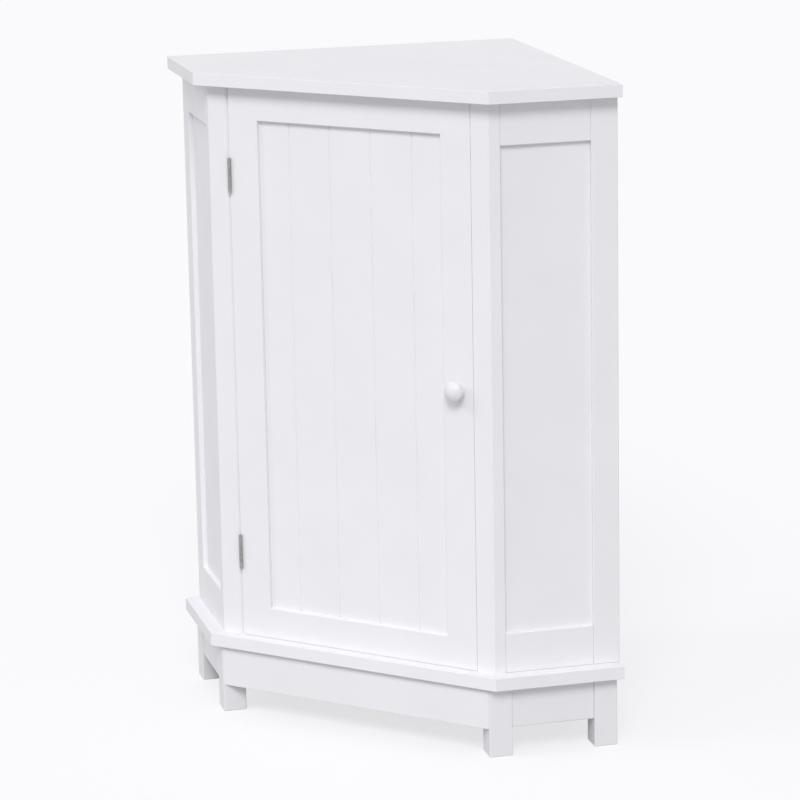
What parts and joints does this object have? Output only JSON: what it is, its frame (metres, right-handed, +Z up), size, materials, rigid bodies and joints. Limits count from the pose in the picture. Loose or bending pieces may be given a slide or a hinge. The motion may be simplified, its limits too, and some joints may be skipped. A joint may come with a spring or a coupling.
{
  "type": "corner cabinet",
  "caption": "Free-standing corner bathroom cabinet with a hinged beadboard door, recessed side panels, loose shelves and square legs.",
  "frame": {"origin": "centre of the bounding box, on the floor under the legs", "axes": "+Z up; the door faces -Y; +X to the right seen from the front; the two walls meet at +Y"},
  "size_m": [0.6282, 0.431, 0.8],
  "materials": {
    "white_paint": "satin white paint on board",
    "back_board": "matt white faced hardboard",
    "knob_paint": "gloss white paint",
    "hinge_steel": "satin nickel plate",
    "zinc_hardware": "bright zinc plate",
    "dowel_wood": "raw beech",
    "catch_plastic": "moulded white plastic",
    "magnet": "dark sintered ferrite"
  },
  "bodies": {
    "carcass": {"top_panel": "white_paint", "base_panel": "white_paint", "front_post_left": "white_paint", "front_post_right": "white_paint", "back_corner_post": "white_paint", "rear_stile_left": "white_paint", "rear_stile_right": "white_paint", "side_top_rail_left": "white_paint", "side_top_rail_right": "white_paint", "side_bottom_rail_left": "white_paint", "side_bottom_rail_right": "white_paint", "side_panel_left": "white_paint", "side_panel_right": "white_paint", "back_panel_left": "back_board", "back_panel_right": "back_board", "leg_back_corner": "white_paint", "leg_rear_left": "white_paint", "leg_rear_right": "white_paint", "leg_front_left": "white_paint", "leg_front_right": "white_paint", "front_apron": "white_paint", "side_apron_left": "white_paint", "side_apron_right": "white_paint", "back_apron_left": "white_paint", "back_apron_right": "white_paint", "hinge_frame_leaf_upper": "hinge_steel", "hinge_pin_upper": "hinge_steel", "hinge_frame_leaf_lower": "hinge_steel", "hinge_pin_lower": "hinge_steel", "catch_case": "catch_plastic", "catch_magnet": "magnet", "shelf_supports_upper": "zinc_hardware", "shelf_supports_lower": "zinc_hardware", "leg_screws": "zinc_hardware", "apron_screws": "zinc_hardware", "back_panel_screws": "zinc_hardware", "dowels": "dowel_wood", "cam_bolts": "zinc_hardware", "cam_locks": "zinc_hardware", "hinge_frame_screws": "zinc_hardware", "catch_screws": "zinc_hardware"},
    "door": {"door_stile_hinge": "white_paint", "door_stile_latch": "white_paint", "door_top_rail": "white_paint", "door_bottom_rail": "white_paint", "door_panel": "white_paint", "door_knob": "knob_paint", "knob_screw": "zinc_hardware", "hinge_door_leaf_upper": "hinge_steel", "hinge_door_leaf_lower": "hinge_steel", "hinge_door_screws": "zinc_hardware", "strike_plate": "hinge_steel", "strike_screws": "zinc_hardware"},
    "upper_shelf": {"shelf_upper": "white_paint"},
    "lower_shelf": {"shelf_lower": "white_paint"}
  },
  "joints": [
    {"name": "door_hinge", "type": "hinge", "parent": "carcass", "child": "door", "pos_m": [-0.16197, -0.19827, 0.44257], "axis": [0, 0, -1], "range_deg": [0, 160]},
    {"name": "upper_shelf_lift", "type": "slide", "parent": "carcass", "child": "upper_shelf", "axis": [0, 0, 1], "range_m": [0, 0.03]},
    {"name": "lower_shelf_lift", "type": "slide", "parent": "carcass", "child": "lower_shelf", "axis": [0, 0, 1], "range_m": [0, 0.03]}
  ]
}
